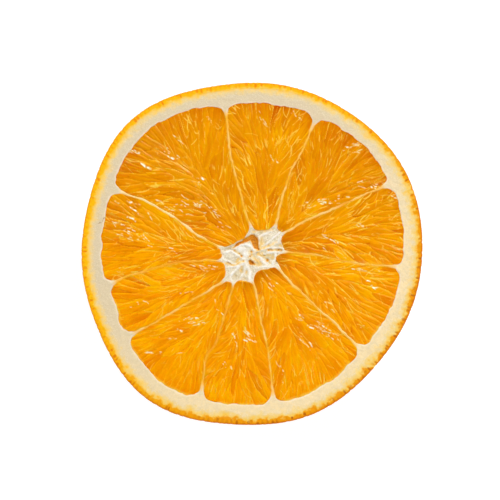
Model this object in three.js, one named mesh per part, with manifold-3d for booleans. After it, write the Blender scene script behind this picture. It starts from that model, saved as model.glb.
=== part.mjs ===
// Half of an orange, cut across its middle and lying on its rounded end with the cut face up.
// Millimetres, +Z up. The flattened spot it rests on is centred on the origin.
import * as THREE from "three";
import { mergeVertices } from "three/addons/utils/BufferGeometryUtils.js";
import Module from "manifold-3d";

const wasm = await Module();
wasm.setup();

// Whole fruit
const ACROSS = 78; // the cut face from side to side
const HEIGHT = 37.5; // resting spot to cut face
const REST_RADIUS = 9; // the flattened spot under the dome
const GAP = 0.3; // clearance between neighbouring tissues
const AROUND = 64; // facets round the dome
const DOWN = 10; // rings of facets from the cut to the resting spot

// Tissues
const PEEL = 1.3; // the oily orange layer
const RIND_FLOOR = 5; // peel and pith together, under the pulp
const MEMBRANE = 0.7; // a wall between two segments, where it is thinnest
const RIM_FLARE = 1.7; // what each side of a wall gains where it runs into the pith
const RIM_FLARE_LENGTH = 1.7;
const CORE_FLARE = 0.5; // the same where it leaves the core
const CORE_FLARE_LENGTH = 1.8;

// Juice sacs on the cut pulp: rows that run from the core to the rim, each a chain of pads
const SAC_ROWS = 72;
const SAC_RINGS = [0, 6, 10, 14, 18, 22, 26, 30, 36]; // radii where a pad may begin or end
const ROWS_HALVE_AT = 4; // inside this ring there is half the number of rows
const SAC_LENGTH = 2; // rings to a pad
const SAC_GROOVE = 0.5; // depth of the groove between two rows
const SAC_NOTCH = 0.3; // depth of the notch between two pads of a row
const SAC_UNEVEN = 0.3; // how much lower than its neighbours a pad may lie

// Slow swellings of the outline: how many go round the fruit, how far each reaches as a share of
// the radius, and the bearing of one crest in degrees
const SWELLINGS = [
  { count: 2, share: 0.0075, bearing: 70 },
  { count: 3, share: 0.0175, bearing: 11 },
  { count: 4, share: 0.0105, bearing: 43 },
  { count: 5, share: 0.0035, bearing: 4 },
  { count: 6, share: 0.004, bearing: 2 },
  { count: 7, share: 0.0065, bearing: 30 },
];

// Segments clockwise from the back: the bearing of the middle of each one's outer wall in
// degrees, and the depth of peel and pith there
const SEGMENTS = [
  { name: "segment_01", bearing: 83, rind: 4.7 },
  { name: "segment_02", bearing: 45, rind: 4.0 },
  { name: "segment_03", bearing: 9, rind: 4.3 },
  { name: "segment_04", bearing: -19, rind: 4.5 },
  { name: "segment_05", bearing: -57, rind: 4.8 },
  { name: "segment_06", bearing: -91, rind: 4.8 },
  { name: "segment_07", bearing: -128, rind: 5.2 },
  { name: "segment_08", bearing: -161, rind: 5.7 },
  { name: "segment_09", bearing: 178, rind: 4.5 },
  { name: "segment_10", bearing: 134, rind: 4.4 },
];

// The ten membranes seen from above, each from inside the core to inside the pith
const MEMBRANES = [
  [[0.1, 4.9], [-1.3, 9], [-3.1, 15.7], [-4.7, 21.4], [-5.4, 27.1], [-6.1, 34.4]],
  [[4.2, 4.5], [5.8, 7.9], [8.4, 17.9], [11.7, 23.9], [13.3, 28], [15.6, 32.9]],
  [[5.6, 3.8], [11.1, 6.9], [16.8, 9.5], [23.9, 12.7], [33.2, 16.5]],
  [[4.7, 0.8], [14, -0.2], [22.3, -1.9], [29.3, -2.6], [35.6, -2.9]],
  [[4.2, -1], [8.8, -6.5], [15.1, -12.5], [19.5, -16.3], [26, -22.9]],
  [[-0.4, -3.8], [1.2, -10.6], [2.3, -16], [3.7, -22.4], [5, -35.1]],
  [[-3.6, -4.7], [-5.8, -12.5], [-8, -19.9], [-10.4, -24.2], [-12.1, -34.7]],
  [[-4.5, -4.7], [-9.5, -8.1], [-22.1, -15.7], [-30.6, -19.6]],
  [[-4.9, -1.5], [-11.8, -1.5], [-16.6, -1.9], [-23.8, -3.8], [-28.5, -5.2], [-34.2, -8.1]],
  [[-4.9, 0.1], [-12.2, 4.3], [-18, 8.4], [-23.8, 11.8], [-32.3, 15.1]],
];

// The white column in the middle of the fruit, as the tips of the segments leave it
const CORE = [
  [-6.9, 0.6], [-6.3, -1.9], [-6.1, -4.2], [-5.2, -6.3], [-2.7, -6.1], [-0.6, -6.3],
  [1.5, -4], [4.2, -3.3], [5.8, -2.2], [5.6, -0.8], [7.2, 1.3], [6.7, 3.3],
  [6.3, 5.4], [3.7, 5.6], [1.5, 5.4], [-0.6, 5.3], [-1.8, 3.8], [-4, 2.5],
];
// The crescent hollow that has opened in the column, and its round pits
const HOLLOW = [[-4.1, 1], [-3.1, 1.7], [-1.4, 2.5], [0.3, 3.3], [1.7, 1.5], [0.9, 0.5], [-1.2, 1.4], [-2.8, 0.9]];
const HOLLOW_DEPTH = 5;
const PITS = [
  { at: [-2.4, -1], radius: 0.45 },
  { at: [0.2, -2.2], radius: 0.55 },
  { at: [3.5, -1.5], radius: 0.45 },
  { at: [-2.8, -3.6], radius: 0.4 },
];
const PIT_DEPTH = 2.5;
const PIT_SIDES = 6;

const CURVE_STEPS = 14; // samples along a membrane
const CORE_STEPS = 48; // samples round the core
const OVERSHOOT = 1; // how far a cutter passes the face it cuts
const SCRAP = 100; // a loose crumb of less than this many cubic millimetres is no segment

const COLOURS = { peel: 0xf28c05, pith: 0xe9dcbd, pulp: 0xf59a12 };

const radians = THREE.MathUtils.degToRad;

// Outline of the cut face, measured from the middle of its bounding box
const bareOutline = (bearing) =>
  SWELLINGS.reduce((r, s) => r + s.share * Math.cos(s.count * (bearing - radians(s.bearing))), 1);
const polar = (radius, bearing) => new THREE.Vector2(radius * Math.cos(bearing), radius * Math.sin(bearing));
const bearings = Array.from({ length: AROUND }, (_, i) => (2 * Math.PI * i) / AROUND);
const bareBox = new THREE.Box2().setFromPoints(bearings.map((b) => polar(bareOutline(b), b)));
const RADIUS = ACROSS / (bareBox.max.x - bareBox.min.x);
const CENTRE = bareBox.getCenter(new THREE.Vector2()).multiplyScalar(-RADIUS);
const DOME_DEPTH = HEIGHT / Math.sqrt(1 - (REST_RADIUS / RADIUS) ** 2);

// Depth of peel and pith at the cut: it eases from the middle of one segment to the next
function rindAt(bearing) {
  const turns = SEGMENTS.map((s) => THREE.MathUtils.euclideanModulo(bearing - radians(s.bearing), 2 * Math.PI));
  const after = turns.indexOf(Math.min(...turns));
  const before = (after + SEGMENTS.length - 1) % SEGMENTS.length;
  const toNext = 2 * Math.PI - turns[before];
  const share = turns[after] / (turns[after] + toNext);
  const ease = (1 - Math.cos(Math.PI * share)) / 2;
  return THREE.MathUtils.lerp(SEGMENTS[after].rind, SEGMENTS[before].rind, ease);
}

// A closed solid as manifold-3d holds it
function solid(geometry) {
  geometry.deleteAttribute("normal");
  geometry.deleteAttribute("uv");
  const merged = mergeVertices(geometry, 1e-4);
  const made = new wasm.Manifold(
    new wasm.Mesh({
      numProp: 3,
      vertProperties: new Float32Array(merged.attributes.position.array),
      triVerts: new Uint32Array(merged.index.array),
    }),
  );
  if (made.volume() <= 0) throw new Error("a solid is inside out");
  return made;
}

function indexed(points, faces) {
  const geometry = new THREE.BufferGeometry();
  geometry.setAttribute("position", new THREE.Float32BufferAttribute(points.flat(), 3));
  geometry.setIndex(faces);
  return geometry;
}

// The dome that lies the given depth under the skin. Its flat floor lies at floorDepth, and its
// straight collar rises to the given top.
function dome(depthAt, floorDepth, top) {
  const depth = DOME_DEPTH - floorDepth;
  const floorAngle = Math.asin((HEIGHT - floorDepth) / depth);
  const rows = [];
  if (top > HEIGHT) rows.push({ angle: 0, z: top });
  for (let j = 0; j <= DOWN; j++) {
    const angle = (floorAngle * j) / DOWN;
    rows.push({ angle, z: HEIGHT - depth * Math.sin(angle) });
  }
  rows[rows.length - 1].z = floorDepth;
  const points = [];
  for (const row of rows)
    for (const bearing of bearings) {
      const under = THREE.MathUtils.lerp(depthAt(bearing), floorDepth, Math.sin(row.angle));
      const at = polar((RADIUS * bareOutline(bearing) - under) * Math.cos(row.angle), bearing);
      points.push([CENTRE.x + at.x, CENTRE.y + at.y, row.z]);
    }
  const topMiddle = points.length;
  points.push([CENTRE.x, CENTRE.y, rows[0].z], [CENTRE.x, CENTRE.y, floorDepth]);
  const faces = [];
  const last = (rows.length - 1) * AROUND;
  for (let i = 0; i < AROUND; i++) {
    const next = (i + 1) % AROUND;
    for (let j = 0; j < rows.length - 1; j++) {
      const upper = j * AROUND;
      const lower = upper + AROUND;
      faces.push(upper + i, lower + i, upper + next, upper + next, lower + i, lower + next);
    }
    faces.push(topMiddle, i, next, topMiddle + 1, last + next, last + i);
  }
  return solid(indexed(points, faces));
}

// An upright prism over a closed flat outline
function prism(outline, from, to) {
  const shape = new THREE.Shape(outline);
  const geometry = new THREE.ExtrudeGeometry(shape, { depth: to - from, bevelEnabled: false });
  return solid(geometry.translate(0, 0, from));
}

const across = (direction) => new THREE.Vector2(-direction.y, direction.x);
const vectors = (pairs) => pairs.map(([x, y]) => new THREE.Vector2(x, y));

// A membrane's outline: a thin wall that flares into the core and into the pith
function membraneOutline(pairs, grow) {
  const line = new THREE.SplineCurve(vectors(pairs));
  const length = line.getLength();
  const left = [];
  const right = [];
  for (let i = 0; i <= CURVE_STEPS; i++) {
    const share = i / CURVE_STEPS;
    const fromRim = (1 - share) * length - OVERSHOOT;
    const half =
      MEMBRANE / 2 +
      grow +
      RIM_FLARE * Math.exp(-Math.max(fromRim, 0) / RIM_FLARE_LENGTH) +
      CORE_FLARE * Math.exp((-share * length) / CORE_FLARE_LENGTH);
    const side = across(line.getTangentAt(share)).multiplyScalar(half);
    left.push(line.getPointAt(share).add(side));
    right.unshift(line.getPointAt(share).sub(side));
  }
  return [...right, ...left];
}

// A smooth closed outline through the points, moved outwards by the given amount
function closedOutline(pairs, grow, steps) {
  const loop = new THREE.CatmullRomCurve3(pairs.map(([x, y]) => new THREE.Vector3(x, y, 0)), true);
  const outline = [];
  for (let i = 0; i < steps; i++) {
    const point = loop.getPointAt(i / steps);
    const tangent = loop.getTangentAt(i / steps);
    outline.push(new THREE.Vector2(point.x - tangent.y * grow, point.y + tangent.x * grow));
  }
  return outline;
}

// Everything white that stands between the segments: the core and the ten membranes
function partitions(grow) {
  const low = -OVERSHOOT;
  const high = HEIGHT + 2 * OVERSHOOT;
  return MEMBRANES.reduce(
    (whole, pairs) => whole.add(prism(membraneOutline(pairs, grow), low, high)),
    prism(closedOutline(CORE, -grow, CORE_STEPS), low, high),
  );
}

// The room for the segments, the given clearance inside the pith, as one body for each segment
function pockets(clearance, top) {
  const room = dome((bearing) => rindAt(bearing) + clearance, RIND_FLOOR + clearance, top);
  return room
    .subtract(partitions(clearance))
    .decompose()
    .filter((body) => body.volume() > SCRAP);
}

// A repeatable number from 0 to 1 for a row of sacs and a pad in it
function chance(row, pad) {
  const wave = Math.sin(row * 127.1 + pad * 311.7 + 7.3) * 43758.5453;
  return wave - Math.floor(wave);
}

// Height of the cut pulp over one column of a ring. Four columns make a row of sacs.
function sacTop(column, ring) {
  const row = Math.floor(column / 4);
  const lift = [0, 0.7, 1, 0.7][column % 4];
  const place = ring + Math.floor(chance(row, 0) * SAC_LENGTH);
  const pad = Math.floor(place / SAC_LENGTH);
  const notch = place % SAC_LENGTH === 0 ? SAC_NOTCH : 0;
  const low = SAC_GROOVE + lift * (notch + SAC_UNEVEN * chance(row, pad + 1) - SAC_GROOVE);
  return HEIGHT - low;
}

// A block whose top is the face of the cut pulp
function sacBlock() {
  const points = [];
  const starts = [];
  const counts = SAC_RINGS.map((_, ring) => (ring < ROWS_HALVE_AT ? 2 : 4) * SAC_ROWS);
  SAC_RINGS.forEach((radius, ring) => {
    starts.push(points.length);
    const count = radius === 0 ? 1 : counts[ring];
    for (let column = 0; column < count; column++) {
      const at = polar(radius, (2 * Math.PI * column) / count);
      points.push([at.x, at.y, sacTop(column, ring)]);
    }
  });
  const faces = [];
  for (let column = 0; column < counts[1]; column++)
    faces.push(0, starts[1] + column, starts[1] + ((column + 1) % counts[1]));
  for (let ring = 1; ring < SAC_RINGS.length - 1; ring++) {
    const inner = (column) => starts[ring] + (column % counts[ring]);
    const outer = (column) => starts[ring + 1] + (column % counts[ring + 1]);
    const split = counts[ring + 1] / counts[ring];
    for (let column = 0; column < counts[ring]; column++) {
      for (let part = 0; part < split; part++)
        faces.push(inner(column), outer(column * split + part), outer(column * split + part + 1));
      faces.push(inner(column), outer((column + 1) * split), inner(column + 1));
    }
  }
  const rim = starts[starts.length - 1];
  const rimCount = counts[counts.length - 1];
  const foot = points.length;
  for (let column = 0; column < rimCount; column++) points.push([points[rim + column][0], points[rim + column][1], 0]);
  const middle = points.length;
  points.push([0, 0, 0]);
  for (let column = 0; column < rimCount; column++) {
    const next = (column + 1) % rimCount;
    faces.push(rim + column, foot + column, rim + next, rim + next, foot + column, foot + next);
    faces.push(middle, foot + next, foot + column);
  }
  return solid(indexed(points, faces));
}

const group = new THREE.Group();
group.name = "orange_half";

function addTissue(name, body, colour, roughness) {
  const cut = body.getMesh();
  const geometry = new THREE.BufferGeometry();
  geometry.setAttribute("position", new THREE.BufferAttribute(new Float32Array(cut.vertProperties), 3));
  geometry.setIndex(new THREE.BufferAttribute(new Uint32Array(cut.triVerts), 1));
  geometry.computeVertexNormals();
  const mesh = new THREE.Mesh(geometry, new THREE.MeshStandardMaterial({ color: colour, roughness }));
  mesh.name = name;
  group.add(mesh);
}

// Peel: a cup between the skin and the pith
const skin = dome(() => 0, 0, HEIGHT);
const peel = skin.subtract(dome(() => PEEL, PEEL, HEIGHT + OVERSHOOT));
addTissue("peel", peel, COLOURS.peel, 0.45);

// Pith: the rest of the dome, less the pockets, the crescent hollow and the pits
let pith = dome(() => PEEL + GAP, PEEL + GAP, HEIGHT);
for (const pocket of pockets(0, HEIGHT + OVERSHOOT)) pith = pith.subtract(pocket);
const hollow = closedOutline(HOLLOW, 0, 20);
pith = pith.subtract(prism(hollow, HEIGHT - HOLLOW_DEPTH, HEIGHT + OVERSHOOT));
for (const pit of PITS) {
  const ring = Array.from({ length: PIT_SIDES }, (_, i) => polar(pit.radius, (2 * Math.PI * i) / PIT_SIDES));
  const outline = ring.map((p) => p.add(new THREE.Vector2(...pit.at)));
  pith = pith.subtract(prism(outline, HEIGHT - PIT_DEPTH, HEIGHT + OVERSHOOT));
}
addTissue("pith", pith, COLOURS.pith, 0.8);

// Segments: each pocket filled up to the uneven cut face of the pulp
const pulpTop = sacBlock();
const pulps = pockets(GAP, HEIGHT + OVERSHOOT);
if (pulps.length !== SEGMENTS.length) throw new Error("the partitions leave " + pulps.length + " segments");
const bodyBearing = (body) => {
  const box = body.boundingBox();
  return Math.atan2(box.min[1] + box.max[1], box.min[0] + box.max[0]);
};
for (const segment of SEGMENTS) {
  const turn = (body) => Math.cos(bodyBearing(body) - radians(segment.bearing));
  const body = pulps.reduce((best, other) => (turn(other) > turn(best) ? other : best));
  addTissue(segment.name, body.intersect(pulpTop), COLOURS.pulp, 0.3);
}

export default group;
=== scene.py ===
from math import atan2, cos, degrees, pi, radians, sin, sqrt

import bpy
import numpy as np
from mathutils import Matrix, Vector, kdtree


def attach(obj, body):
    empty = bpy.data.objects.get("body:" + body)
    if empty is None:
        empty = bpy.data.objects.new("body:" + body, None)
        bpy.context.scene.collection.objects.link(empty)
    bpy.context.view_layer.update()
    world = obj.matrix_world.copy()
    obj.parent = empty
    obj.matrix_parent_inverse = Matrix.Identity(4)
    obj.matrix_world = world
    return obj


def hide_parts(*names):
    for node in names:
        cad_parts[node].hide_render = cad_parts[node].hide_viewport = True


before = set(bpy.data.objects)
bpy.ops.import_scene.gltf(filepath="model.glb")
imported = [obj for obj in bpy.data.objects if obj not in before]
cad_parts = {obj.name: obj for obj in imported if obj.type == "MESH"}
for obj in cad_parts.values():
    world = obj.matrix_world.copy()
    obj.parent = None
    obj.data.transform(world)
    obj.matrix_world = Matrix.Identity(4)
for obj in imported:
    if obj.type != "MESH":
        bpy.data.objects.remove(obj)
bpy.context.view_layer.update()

# ---------------------------------------------------------------------------
# Half an orange, cut across its middle, cut face up. Lengths are in millimetres
# until a mesh is made. The cut face is a height field over x and y.
# ---------------------------------------------------------------------------
MM = 0.001
ACROSS = 78.0
HEIGHT = 37.5
REST_RADIUS = 9.0
PEEL = 1.3
AROUND = 64  # points round the solids' outline, whose extent sets the radius
rng = np.random.default_rng(11)

# slow swellings of the outline, rounded from a fit to the photo's edge: how many go round the
# fruit, share of the radius, bearing of a crest
SWELLINGS = [(2, 0.0075, 70), (3, 0.0175, 11), (4, 0.0105, 43),
             (5, 0.0035, 4), (6, 0.004, 2), (7, 0.0065, 30)]
# bearing of the middle of each segment's outer wall, depth of the rind there
SEGMENTS = [(83, 4.7), (45, 4.0), (9, 4.3), (-19, 4.5), (-57, 4.8),
            (-91, 4.8), (-128, 5.2), (-161, 5.7), (178, 4.5), (134, 4.4)]
# the membranes between the segments, each from the core to the rind
MEMBRANES = [
    [(0.1, 4.9), (-1.3, 9), (-3.1, 15.7), (-4.7, 21.4), (-5.4, 27.1), (-6.1, 34.4)],
    [(4.2, 4.5), (5.8, 7.9), (8.4, 17.9), (11.7, 23.9), (13.3, 28), (15.6, 32.9)],
    [(5.6, 3.8), (11.1, 6.9), (16.8, 9.5), (23.9, 12.7), (33.2, 16.5)],
    [(4.7, 0.8), (14, -0.2), (22.3, -1.9), (29.3, -2.6), (35.6, -2.9)],
    [(4.2, -1), (8.8, -6.5), (15.1, -12.5), (19.5, -16.3), (26, -22.9)],
    [(-0.4, -3.8), (1.2, -10.6), (2.3, -16), (3.7, -22.4), (5, -35.1)],
    [(-3.6, -4.7), (-5.8, -12.5), (-8, -19.9), (-10.4, -24.2), (-12.1, -34.7)],
    [(-4.5, -4.7), (-9.5, -8.1), (-22.1, -15.7), (-30.6, -19.6)],
    [(-4.9, -1.5), (-11.8, -1.5), (-16.6, -1.9), (-23.8, -3.8), (-28.5, -5.2), (-34.2, -8.1)],
    [(-4.9, 0.1), (-12.2, 4.3), (-18, 8.4), (-23.8, 11.8), (-32.3, 15.1)],
]
# the core's outline
CORE = [
    (-6.9, 0.6), (-6.3, -1.9), (-6.1, -4.2), (-5.2, -6.3), (-2.7, -6.1), (-0.6, -6.3), (1.5, -4),
    (4.2, -3.3), (5.8, -2.2), (5.6, -0.8), (7.2, 1.3), (6.7, 3.3), (6.3, 5.4), (3.7, 5.6), (1.5, 5.4),
    (-0.6, 5.3), (-1.8, 3.8), (-4, 2.5)]


def bare_outline(bearing):
    """The outline's radius by bearing, for a fruit of radius 1."""
    r = np.ones_like(bearing)
    for count, share, crest in SWELLINGS:
        r = r + share * np.cos(count * (bearing - radians(crest)))
    return r


round_bearings = np.linspace(0, 2 * pi, AROUND, endpoint=False)
round_x = bare_outline(round_bearings) * np.cos(round_bearings)
round_y = bare_outline(round_bearings) * np.sin(round_bearings)
RADIUS = ACROSS / (round_x.max() - round_x.min())
CENTRE = np.array([-(round_x.max() + round_x.min()) / 2, -(round_y.max() + round_y.min()) / 2]) * RADIUS
DOME_DEPTH = HEIGHT / sqrt(1 - (REST_RADIUS / RADIUS) ** 2)


def smooth(t):
    """An eased step from 0 to 1."""
    t = np.clip(t, 0, 1)
    return t * t * (3 - 2 * t)


def gaussian(distance, width):
    """1 on a line, falling to nothing on both sides of it."""
    return np.exp(-(distance / width) ** 2)


def fade(distance, length):
    """1 at a border, falling off beyond it."""
    return np.exp(-np.maximum(distance, 0) / length)


def rind_depth(bearing):
    """Depth of peel and pith at the cut, eased from one segment's middle to the next."""
    mids = np.radians([m for m, _ in SEGMENTS]) % (2 * pi)
    order = np.argsort(mids)
    mids, depths = mids[order], np.array([d for _, d in SEGMENTS])[order]
    mids = np.concatenate([[mids[-1] - 2 * pi], mids, [mids[0] + 2 * pi]])
    depths = np.concatenate([[depths[-1]], depths, [depths[0]]])
    b = bearing % (2 * pi)
    i = np.clip(np.searchsorted(mids, b) - 1, 0, len(mids) - 2)
    share = (b - mids[i]) / (mids[i + 1] - mids[i])
    return depths[i] + (depths[i + 1] - depths[i]) * (1 - np.cos(pi * share)) / 2


def spline(points, steps, closed=False):
    """Catmull-Rom through the points."""
    p = np.array(points, float)
    if closed:
        p = np.vstack([p[-1], p, p[0], p[1]])
    else:
        p = np.vstack([2 * p[0] - p[1], p, 2 * p[-1] - p[-2]])
    out = []
    for i in range(1, len(p) - 2):
        t = np.linspace(0, 1, steps, endpoint=False)[:, None]
        a, b, c, d = p[i - 1], p[i], p[i + 1], p[i + 2]
        square, cube = 2 * a - 5 * b + 4 * c - d, 3 * b - a - 3 * c + d
        out.append(0.5 * (2 * b + (c - a) * t + square * t**2 + cube * t**3))
    if not closed:
        out.append(p[-2][None])
    return np.vstack(out)


def noise(x, y, size, seed, octaves=1):
    """Smooth value noise from -1 to 1 with features of about the given size."""
    total, amp, norm = 0.0, 1.0, 0.0
    for o in range(octaves):
        u, v = x / size + 57.3 * (seed + o), y / size - 31.7 * (seed + o)
        iu, iv = np.floor(u), np.floor(v)
        fu, fv = u - iu, v - iv
        fu, fv = fu**3 * (fu * (6 * fu - 15) + 10), fv**3 * (fv * (6 * fv - 15) + 10)

        def corner(a, b):
            h = np.sin(a * 127.1 + b * 311.7 + seed * 74.7 + o * 19.19) * 43758.5453
            return 2 * (h - np.floor(h)) - 1

        top = corner(iu, iv + 1) * (1 - fu) + corner(iu + 1, iv + 1) * fu
        low = corner(iu, iv) * (1 - fu) + corner(iu + 1, iv) * fu
        total = total + amp * (low * (1 - fv) + top * fv)
        norm += amp
        amp *= 0.5
        size = size / 2
    return total / norm


# ---- Plan of the cut face: distances to the membranes, the core and the rind ----
CORE_MIDDLE = np.array([0.2, -0.6])


def polar_about(x, y, middle):
    """Distance and bearing of points from a middle."""
    dx, dy = x - middle[0], y - middle[1]
    return np.hypot(dx, dy), np.arctan2(dy, dx)


class Membrane:
    """A membrane as a bearing from the core's middle for each radius."""

    def __init__(self, points):
        line = spline(points, 40)
        r, b = polar_about(line[:, 0], line[:, 1], CORE_MIDDLE)
        order = np.argsort(r)
        self.r, self.b = r[order], np.unwrap(b[order])
        turning = np.gradient(self.b, self.r + 1e-9 * np.arange(len(self.r)))
        self.slope = np.cos(np.arctan(self.r * turning))

    def distance(self, r, b):
        """Signed distance, positive counter-clockwise of the membrane."""
        at = np.interp(r, self.r, self.b)
        turn = (b - at + pi) % (2 * pi) - pi
        return r * turn * np.interp(r, self.r, self.slope)


membranes = [Membrane(m) for m in MEMBRANES]
core_line = spline(CORE, 20, closed=True)
core_r, core_b = polar_about(core_line[:, 0], core_line[:, 1], CORE_MIDDLE)
core_order = np.argsort(core_b)
core_b, core_r = core_b[core_order], core_r[core_order]
core_b = np.concatenate([core_b - 2 * pi, core_b, core_b + 2 * pi])
core_r = np.tile(core_r, 3)

# half thickness of a membrane, what it gains in places, and how it widens at its two ends
THIN = 0.17
THICKENING = 0.1
RIM_FLARE, RIM_FLARE_LENGTH = 1.45, 1.0
CORE_FLARE, CORE_FLARE_LENGTH = 0.5, 1.0
# a white notch in the top segment's rim: its place, depth and the square of its width
NOTCH_X, NOTCH_Y, NOTCH_DEPTH, NOTCH_SPREAD = -12.9, 31.0, 0.9, 0.5
RIM_ROUNDING, CORE_ROUNDING = 1.3, 0.9  # of the segments' corners
FAR_SIDE = 8.0  # a point this far past a membrane is on the fruit's other side


def smooth_min(a, b, k):
    """The lesser of two distances, rounded where they meet."""
    h = np.clip(0.5 + 0.5 * (b - a) / k, 0, 1)
    return b * (1 - h) + a * h - k * h * (1 - h)


class Plan:
    """Where each point of the cut face lies among the tissues."""

    def __init__(self, x, y):
        self.x, self.y = x, y
        ro, bo = polar_about(x, y, CENTRE)
        self.bearing = bo
        outline = bare_outline(bo) * RADIUS
        self.skin = outline - ro  # depth under the skin
        ripple = 0.2 * noise(x, y, 3.5, 5) + 0.24 * noise(x, y, 1.9, 7) + 0.1 * noise(x, y, 0.8, 6)
        notch = NOTCH_DEPTH * np.exp(-((x - NOTCH_X) ** 2 + (y - NOTCH_Y) ** 2) / NOTCH_SPREAD)
        self.rim = outline - rind_depth(bo) - ro + ripple - notch  # room left to the rind
        r, b = polar_about(x, y, CORE_MIDDLE)
        self.core = r - np.interp(b, core_b, core_r) + 0.16 * noise(x, y, 1.4, 12, 2)
        self.thickness = noise(x, y, 3.0, 4, 2)
        wall = THIN + THICKENING * np.clip(self.thickness, 0, 1)
        wall = wall + RIM_FLARE * fade(self.rim, RIM_FLARE_LENGTH)
        wall = wall + CORE_FLARE * fade(self.core, CORE_FLARE_LENGTH)
        self.wall = wall * (1 + 0.35 * noise(x, y, 1.8, 3, 2))
        sway = 0.16 * noise(x, y, 2.4, 8) + 0.1 * noise(x, y, 0.9, 9)
        dist = np.array([m.distance(r, b) for m in membranes]) + sway
        self.nearest_wall = np.abs(dist).argmin(0)
        # segment i lies clockwise of membrane i and counter-clockwise of membrane i + 1
        depths = []
        for i in range(len(membranes)):
            left, right = -dist[i], dist[(i + 1) % len(membranes)]
            far = (left < -FAR_SIDE) | (right < -FAR_SIDE)
            depths.append(np.where(far, -FAR_SIDE - 1, np.minimum(left, right) - self.wall))
        self.segment = np.argmax(depths, 0)
        side = np.max(depths, 0)
        self.inside = smooth_min(smooth_min(side, self.rim, RIM_ROUNDING), self.core, CORE_ROUNDING)


# ---- Juice sacs ----
# for each segment, clockwise from the back: the point near its core end that the sacs run to,
# and the point on its spine that the outer sacs spread from
FLOW = [
    ((2.4, 6.5), (3.3, 17.5)), ((8.0, 6.5), (12.9, 11.3)), ((8.5, 3.0), (18, 4.9)),
    ((6.5, -1.2), (12.2, -3.3)), ((3.0, -4.5), (8.8, -12.9)), ((-1.5, -7.0), (-2.7, -18.6)),
    ((-5.5, -7.0), (-10.6, -15.7)), ((-7.0, -3.0), (-17, -8.5)), ((-7.5, 0.8), (-14, 1.0)),
    ((-3.0, 4.0), (-11.1, 16.8))]
LEAD = 6.0  # a sac points this far ahead of itself along the spine
SAC_HALF_LENGTH = 3.3
SAC_HALF_WIDTH = 0.6
SAC_SPACING = 1.75  # between seeds, in half lengths and half widths


def flow(segment, x, y):
    """Direction from the rim towards the core that a sac at x, y lies along."""
    tip, focus = np.array(FLOW[segment][0]), np.array(FLOW[segment][1])
    spine = focus - tip
    length = np.hypot(*spine)
    spine = spine / length
    s = (x - tip[0]) * spine[0] + (y - tip[1]) * spine[1]
    to = np.minimum(s - LEAD, length)
    dx, dy = tip[0] + spine[0] * to - x, tip[1] + spine[1] * to - y
    n = np.hypot(dx, dy) + 1e-9
    return dx / n, dy / n


def rotated(x, y, cosine, sine):
    """A direction turned by the angle that has this cosine and sine."""
    return x * cosine - y * sine, x * sine + y * cosine


def along_aside(x, y, at_x, at_y, way_x, way_y):
    """How far points lie from a place, along a direction and to its left."""
    dx, dy = x - at_x, y - at_y
    return dx * way_x + dy * way_y, -dx * way_y + dy * way_x


def scatter_sacs(segment, x, y, count):
    """Seeds of the sacs of a segment, spread by dart throwing in the stretched metric."""
    candidates = rng.choice(len(x), size=count, replace=False)
    cx, cy = x[candidates], y[candidates]
    tx, ty = flow(segment, cx, cy)
    turn = 0.2 * noise(cx, cy, 4.5, 61 + segment) + rng.normal(0, 0.07, count)
    tx, ty = rotated(tx, ty, np.cos(turn), np.sin(turn))
    kept = []
    for i in range(len(cx)):
        if kept:
            k = np.array(kept)
            along, aside = along_aside(cx[i], cy[i], cx[k], cy[k], tx[k], ty[k])
            apart = (along / SAC_HALF_LENGTH) ** 2 + (aside / SAC_HALF_WIDTH) ** 2
            if apart.min() < SAC_SPACING**2:
                continue
        kept.append(i)
    k = np.array(kept)
    return np.stack([cx[k], cy[k], tx[k], ty[k]], 1)


def sac_field(seeds, x, y, seed_number):
    """For each point: its sac, the next one, the distance to their border, the place in the sac."""
    wx = x + 0.2 * noise(x, y, 3.4, 21 + seed_number) + 0.06 * noise(x, y, 0.9, 22 + seed_number)
    wy = y + 0.2 * noise(x, y, 3.4, 31 + seed_number) + 0.06 * noise(x, y, 0.9, 32 + seed_number)
    n = len(seeds)
    local = np.random.default_rng(100 + seed_number)
    length = SAC_HALF_LENGTH * local.uniform(0.8, 1.3, n)
    width = SAC_HALF_WIDTH * local.uniform(0.75, 1.3, n)
    best, second = np.full((2, len(x)), 1e9)
    which, other = np.zeros((2, len(x)), int)
    along_best, aside_best = np.zeros((2, len(x)))
    for i, (sx, sy, tx, ty) in enumerate(seeds):
        along, aside = along_aside(wx, wy, sx, sy, tx, ty)
        taper = 1 + 0.22 * np.clip(-along / length[i], -1.5, 1.5)
        d = np.sqrt((along / length[i]) ** 2 + (aside / (width[i] * taper)) ** 2)
        closer = d < best
        second = np.where(closer, best, np.minimum(second, d))
        other = np.where(closer, which, np.where(d == second, i, other))
        which = np.where(closer, i, which)
        along_best = np.where(closer, along, along_best)
        aside_best = np.where(closer, aside, aside_best)
        best = np.where(closer, d, best)
    border = (second - best) * SAC_HALF_WIDTH  # about millimetres across the border
    return which, other, border, along_best, aside_best


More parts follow.
